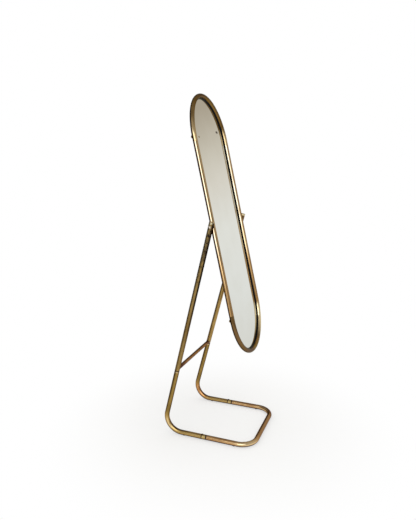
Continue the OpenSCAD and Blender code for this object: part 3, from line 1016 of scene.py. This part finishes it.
def back_strap(level, word):
    """A flat bar with rounded ends, across the back from tube to tube."""
    def outline(inset, y, steps=16):
        r, points = STRAP_W / 2 - inset, []
        for side in (RIGHT, LEFT):
            for i in range(steps + 1):
                a = math.pi * i / steps - side * math.pi / 2
                points.append(Vector((side * RING_HALF + r * math.cos(a), y,
                                      level + r * math.sin(a))))
        return points

    mesh = flat_bar("strap", outline, RING_R, RING_R + STRAP_T, ease=0.4 * MM)
    piece("strap_" + word, mesh, strap_brass, "mirror", ["back_strap_" + word])


def strap_heads():
    places = [at_strap_screw(side, level) for side in SIDES for level in (SIDE_UP, -SIDE_DOWN)]
    made = screw_set("strap_heads", places, STRAP_SCREW_DEPTH, small_brass,
                     first_turn=0.4, next_turn=0.8)
    settle(made, "mirror", ["strap_screws"])


def pivot_bolt(side):
    face = OUTER_FACE + BOLT_WASHER_T
    turn = 0.7 if side == LEFT else -0.3
    made = slotted_head("bolt_" + WORD[side], on_pivot(side) @ moved(0, 0, face), BOLT_SIZE,
                        face, steel, turn)
    settle(made, "mirror", ["pivot_bolt_" + WORD[side]])


def spring_washers():
    made = []
    for side in SIDES:
        mesh = ring_disc("spring_washer", side, BOLT_WASHER_R, BOLT_R + SEAT_PLAY, OUTER_FACE,
                         BOLT_WASHER_T, ease=0.2 * MM)
        mesh.materials.append(steel)
        made.append(add("spring_washer", mesh))
    settle(join("spring_washers", made), "mirror", ["bolt_washers"])


base_front()
crossbar()
runner_screws()
for side in SIDES:
    rear_leg(side)
    upper_upright(side)
    braze_fillet(side)
    upright_cap(side)
    pivot_bush(side)
    friction_washer(side)
    ring_side(side)
    pivot_bolt(side)
ring_bow(1, "top", top_bow_brass())
ring_bow(-1, "bottom", bottom_bow_brass())
glazing_bead()
glass_plate()
back_board()
back_strap(SIDE_UP, "upper")
back_strap(-SIDE_DOWN, "lower")
strap_heads()
spring_washers()
for node in ("base_joint_sleeve_left", "base_joint_sleeve_right", "upright_joint_sleeve_left",
             "upright_joint_sleeve_right", "frame_joint_sleeves", "pivot_boss_left",
             "pivot_boss_right"):
    dress(node, small_brass)
dress("floor_glides", glide_rubber)

# ---- Studio ----

VIEW_AZIMUTH = math.radians(-68.54)
VIEW_DOWN = math.radians(10.67)
VIEW_FROM = Vector((-2.2088, -0.7891, 1.3040))
LENS = 33.526
SENSOR = 36.0

FLOOR_RINGS = (0.5, 1.0, 2.0, 4.0, 7.0)
FLOOR_TONES = (srgb(246, 245, 242), srgb(245, 244, 240))
SOFT_LIGHT = (0.9, 0.9, 0.9, 1)
WHITE = (1, 1, 1, 1)

# Azimuths of the room are in degrees, measured from the camera's side.
ROOM_TURN = math.radians(-158.5)
ROOM_R = 2.8
ROOM_Z = 1.1
ROOM_STEP = 2
DOME_LOW, DOME_STEP, DOME_ROWS = -24, 1.5, 77
GREY = Vector((1, 1, 1))
# Grey cards: azimuth from, to and soft edge, height from, to and soft edge, tone.
GREY_CARDS = (((-95, -60, 20), (0.2, 3.2, 0.3), 0.2),
              ((38, 112, 14), (-0.5, 2.5, 0.5), 0.58),
              ((-60, 30, 14), (-0.5, 3.2, 0.4), 0.52))
ROOM_DARK = 0.10
ROOM_RISES = ((0.22, 1.1, 1.7), (0.1, 2.6, 3.6))  # grey added, height from and to
BRIGHT_TONE = Vector((1.5, 1.68, 1.95))
BRIGHT_LEFT, BRIGHT_RIGHT, BRIGHT_SOFT = -42, 16, 11
BRIGHT_HEIGHT = (0.68, 2.35, 0.28)
WAIST, WAIST_HEIGHT = 18, (1.05, 1.45, 0.25)
PALE_CARD = (122, 152, 16)
CARD_TONES = ((0.0, (0.77, 0.77, 0.75)), (0.4, (0.82, 0.827, 0.815)), (1.1, (0.845, 0.845, 0.82)),
              (1.58, (0.77, 0.735, 0.675)), (1.9, (0.65, 0.605, 0.525)),
              (2.3, (0.455, 0.397, 0.318)))
SHEET_Z = 0.0006
SHEET_EDGE = 0.3
SHEET_STEP = 0.05

KEY_AZIMUTH, KEY_RISE = -12, math.radians(14)
KEY_AIM = Vector((0, 0, 0.85))
KEY_DISTANCE = 2.45
KEY_SIZE = 1.5
KEY_POWER = 9.5


def face_along(thing, direction):
    """Turns a camera or lamp so that it looks that way, upright."""
    thing.rotation_mode = "QUATERNION"
    thing.rotation_quaternion = direction.to_track_quat("-Z", "Y")


def camera():
    data = bpy.data.cameras.new("camera")
    data.lens, data.sensor_width = LENS, SENSOR
    data.clip_start, data.clip_end = 0.05, 60
    thing = add("camera", data)
    thing.location = VIEW_FROM
    flat = math.cos(VIEW_DOWN)
    face_along(thing, -Vector((math.sin(VIEW_AZIMUTH) * flat, -math.cos(VIEW_AZIMUTH) * flat,
                               math.sin(VIEW_DOWN))))
    bpy.context.scene.camera = thing


def world():
    """White to the camera and behind the dome, an even grey as soft light on matt things."""
    made = bpy.data.worlds.new("studio")
    made.use_nodes = True
    bpy.context.scene.world = made
    s = Nodes(made.node_tree)
    seen = s.node("LightPath").outputs
    seen_by = s.math("ADD", seen["Is Camera Ray"], seen["Is Glossy Ray"], clamp=True)
    seen_by = s.math("ADD", seen_by, seen["Is Transmission Ray"], clamp=True)
    background = s.fill(s.node("Background"), Color=s.mix(seen_by, SOFT_LIGHT, WHITE))
    s.feed(s.node("OutputWorld").inputs["Surface"], background.outputs[0])


def floor_paint():
    """A pale floor that goes over into the white backdrop."""
    s = Shader("floor")
    at = s.place()
    grain = s.span(s.noise(at, 3.0, 2), 0.3, 0.7)
    s.set(Base_Color=s.mix(grain, *FLOOR_TONES), Roughness=0.9, Specular_IOR_Level=0.0)
    blend = s.node("MixShader")
    far = s.span(s.vector("LENGTH", at), 0.2, 0.95, 0.55, 1.0)
    for socket, value in zip(blend.inputs, (far, s.surface.outputs[0], s.emission(WHITE))):
        s.feed(socket, value)
    s.show(blend.outputs[0])
    return s.material


def floor(segments=96):
    """A round floor."""
    bm = bmesh.new()
    centre = bm.verts.new((0, 0, 0))
    rows = [[bm.verts.new(p) for p in circle(r, 0, segments)] for r in FLOOR_RINGS]
    for j in range(segments):
        k = (j + 1) % segments
        bm.faces.new((centre, rows[0][j], rows[0][k]))
        for a, b in zip(rows, rows[1:]):
            bm.faces.new((a[j], b[j], b[k], a[k]))
    thing = add("floor", mesh_of(bm, "floor"))
    thing.data.materials.append(floor_paint())


def smooth(x, low, high):
    t = min(1.0, max(0.0, (x - low) / (high - low)))
    return t * t * (3 - 2 * t)


def within(x, low, high, soft):
    """1 between low and high, falling to 0 over the soft distance outside."""
    return smooth(x, low - soft, low) * (1 - smooth(x, high, high + soft))


def around(azimuth, radius, z):
    a = ROOM_TURN + math.radians(azimuth)
    return Vector((radius * math.cos(a), radius * math.sin(a), z))


def card_tone(z):
    """The pale card's tone at that height."""
    for (z0, a), (z1, b) in zip(CARD_TONES, CARD_TONES[1:]):
        if z <= z1:
            return Vector(a).lerp(Vector(b), max(0.0, (z - z0) / (z1 - z0)))
    return Vector(CARD_TONES[-1][1])


def room_tone(azimuth, z):
    """The room's brightness by azimuth and height: dark low down and grey above, then the
    grey cards, the bright side with its waist and the pale card."""
    azimuth = (azimuth + 180) % 360 - 180
    tone = GREY * sum((share * smooth(z, *rise) for share, *rise in ROOM_RISES), ROOM_DARK)
    for sideways, upwards, share in GREY_CARDS:
        tone = tone.lerp(GREY * share, within(azimuth, *sideways) * within(z, *upwards))
    left = BRIGHT_LEFT + WAIST * within(z, *WAIST_HEIGHT)
    bright = within(azimuth, left, BRIGHT_RIGHT, BRIGHT_SOFT) * within(z, *BRIGHT_HEIGHT)
    tone = tone.lerp(BRIGHT_TONE, bright)
    return tone.lerp(card_tone(z), within(azimuth, *PALE_CARD))


def studio_wall(name, columns):
    """A wall that only reflections see: a grid of points, each with the glow it gives."""
    bm = bmesh.new()
    colour = bm.loops.layers.float_color.new("glow")
    verts = [[bm.verts.new(point) for point, _ in column] for column in columns]
    for i in range(len(verts) - 1):
        for j in range(len(verts[0]) - 1):
            spots = ((i, j), (i + 1, j), (i + 1, j + 1), (i, j + 1))
            face = bm.faces.new([verts[a][b] for a, b in spots])
            for corner, (a, b) in zip(face.loops, spots):
                corner[colour] = (*columns[a][b][1], 1)
    thing = add(name, mesh_of(bm, name))
    s = Shader(name)
    s.show(s.emission(s.node("VertexColor", layer_name="glow").outputs[0]))
    thing.data.materials.append(s.material)
    thing.visible_camera = thing.visible_diffuse = thing.visible_shadow = False
    thing.visible_transmission = thing.visible_volume_scatter = False


def room():
    """A dome with a bright side at the left and a pale card at the right."""
    columns = []
    for azimuth in range(0, 361, ROOM_STEP):
        column = []
        for i in range(DOME_ROWS):
            e = math.radians(DOME_LOW + DOME_STEP * i)
            z = ROOM_Z + ROOM_R * math.sin(e)
            column.append((around(azimuth, ROOM_R * math.cos(e), z), room_tone(azimuth, z)))
        columns.append(column)
    studio_wall("room", columns)


def floor_sheet(name, azimuths, middle, reach, tone):
    """A sheet just over the floor, for reflections: toned in the middle, white at its edges."""
    low, high = reach
    white = Vector((1, 1, 0.99))
    radii = [low - SHEET_EDGE + SHEET_STEP * i
             for i in range(round((high - low + SHEET_EDGE) / SHEET_STEP) + 1)]
    columns = []
    for azimuth in azimuths:
        side = within(azimuth, *middle)
        columns.append([(around(azimuth, r, SHEET_Z),
                         white.lerp(tone, side * within(r, low, high, SHEET_EDGE)))
                        for r in radii])
    studio_wall(name, columns)


def key_lamp():
    data = bpy.data.lights.new("key", "AREA")
    data.shape, data.size, data.size_y = "RECTANGLE", KEY_SIZE, KEY_SIZE
    data.energy = KEY_POWER
    thing = add("key", data)
    away = around(KEY_AZIMUTH, math.cos(KEY_RISE), math.sin(KEY_RISE))
    thing.location = KEY_AIM + away * KEY_DISTANCE
    face_along(thing, -away)
    thing.visible_camera = False


camera()
world()
floor()
room()
floor_sheet("dark_sheet", range(-150, -19, ROOM_STEP), (-118, -58, 28), (0.75, 2.3), GREY * 0.34)
floor_sheet("card_foot", range(104, 171, ROOM_STEP), PALE_CARD, (2.1, 2.6), card_tone(0))
key_lamp()
bpy.context.scene.view_settings.view_transform = "Standard"
